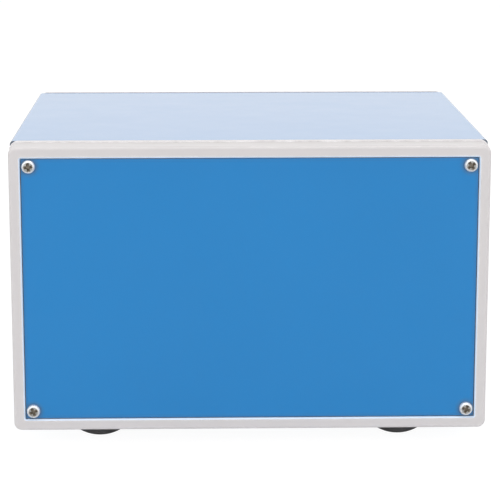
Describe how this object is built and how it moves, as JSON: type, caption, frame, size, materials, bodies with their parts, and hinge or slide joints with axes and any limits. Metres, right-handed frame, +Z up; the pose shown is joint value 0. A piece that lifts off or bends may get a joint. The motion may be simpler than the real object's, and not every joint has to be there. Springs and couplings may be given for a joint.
{
  "type": "direct injection box",
  "caption": "Passive direct injection box in a blue folded-steel instrument case with pale moulded end frames, blank front panel, and jack, XLR and toggle connections on the rear.",
  "frame": {"origin": "on the surface that the object stands on, under the middle of its whole box", "axes": "+X to the right seen from the blank front panel, +Y from the front panel to the connector panel, +Z up"},
  "size_m": [0.2046, 0.1964, 0.1304],
  "materials": {
    "blue_paint": "gloss",
    "frame_plastic": "satin, moulded",
    "zinc_steel": "bright zinc",
    "rubber": "matt",
    "nickel": "bright nickel",
    "brass": "plain",
    "tinned": "tinned",
    "black_plastic": "matt",
    "red_plastic": "satin",
    "board": "solder mask",
    "can_metal": "satin",
    "core_steel": "laminated",
    "bobbin": "copper wire under clear tape",
    "resistor": "lacquered",
    "capacitor": "moulded",
    "wire_a": "sleeved",
    "wire_b": "sleeved",
    "wire_green": "sleeved",
    "plug_white": "moulded",
    "black_metal": "satin"
  },
  "bodies": {
    "case": {"board_screws": "zinc_steel", "board_standoffs": "nickel", "channel_1_wires": "wire_a", "channel_2_wires": "wire_b", "circuit_board": "board", "cover_clinch_nuts": "zinc_steel", "cover_screws": "zinc_steel", "film_capacitors": "capacitor", "foot_front_left": "rubber", "foot_front_right": "rubber", "foot_rear_left": "rubber", "foot_rear_right": "rubber", "foot_screws": "zinc_steel", "frame_screws": "zinc_steel", "front_frame": "frame_plastic", "front_panel": "blue_paint", "front_panel_screws": "zinc_steel", "ground_screw": "zinc_steel", "ground_tag": "tinned", "ground_wire": "wire_green", "input_jack_1": "black_plastic", "input_jack_2": "black_plastic", "jack_bushings": "nickel", "jack_contacts": "tinned", "jack_nuts": "nickel", "jack_washers": "black_plastic", "lift_switch_1": "red_plastic", "lift_switch_2": "red_plastic", "link_jack_1": "black_plastic", "link_jack_2": "black_plastic", "lower_tray": "blue_paint", "pad_resistors": "resistor", "pad_switch_1": "red_plastic", "pad_switch_2": "red_plastic", "rear_frame": "frame_plastic", "rear_panel": "blue_paint", "rear_panel_screws": "zinc_steel", "switch_bushings": "nickel", "switch_nuts": "nickel", "switch_terminals": "tinned", "switch_washers": "zinc_steel", "transformer_bobbins": "bobbin", "transformer_can_1": "can_metal", "transformer_can_2": "can_metal", "transformer_cores": "core_steel", "tray_nuts": "zinc_steel", "upper_cover": "blue_paint", "wire_plugs": "plug_white", "xlr_insert_1": "black_plastic", "xlr_insert_2": "black_plastic", "xlr_nuts": "zinc_steel", "xlr_pins": "brass", "xlr_screws": "zinc_steel", "xlr_shell_1": "black_metal", "xlr_shell_2": "black_metal"},
    "pad_lever_1": {"pad_lever_1": "nickel"},
    "pad_lever_2": {"pad_lever_2": "nickel"},
    "lift_lever_1": {"lift_lever_1": "nickel"},
    "lift_lever_2": {"lift_lever_2": "nickel"}
  },
  "joints": [
    {"name": "pad_switch_1_throw", "type": "hinge", "parent": "case", "child": "pad_lever_1", "pos_m": [0.061, 0.08494, 0.0865], "axis": [1, 0, 0], "range_deg": [0, 25]},
    {"name": "lift_switch_1_throw", "type": "hinge", "parent": "case", "child": "lift_lever_1", "pos_m": [0.023, 0.08494, 0.0865], "axis": [1, 0, 0], "range_deg": [0, 25]},
    {"name": "pad_switch_2_throw", "type": "hinge", "parent": "case", "child": "pad_lever_2", "pos_m": [-0.031, 0.08494, 0.0865], "axis": [1, 0, 0], "range_deg": [0, 25]},
    {"name": "lift_switch_2_throw", "type": "hinge", "parent": "case", "child": "lift_lever_2", "pos_m": [-0.069, 0.08494, 0.0865], "axis": [1, 0, 0], "range_deg": [0, 25]}
  ]
}
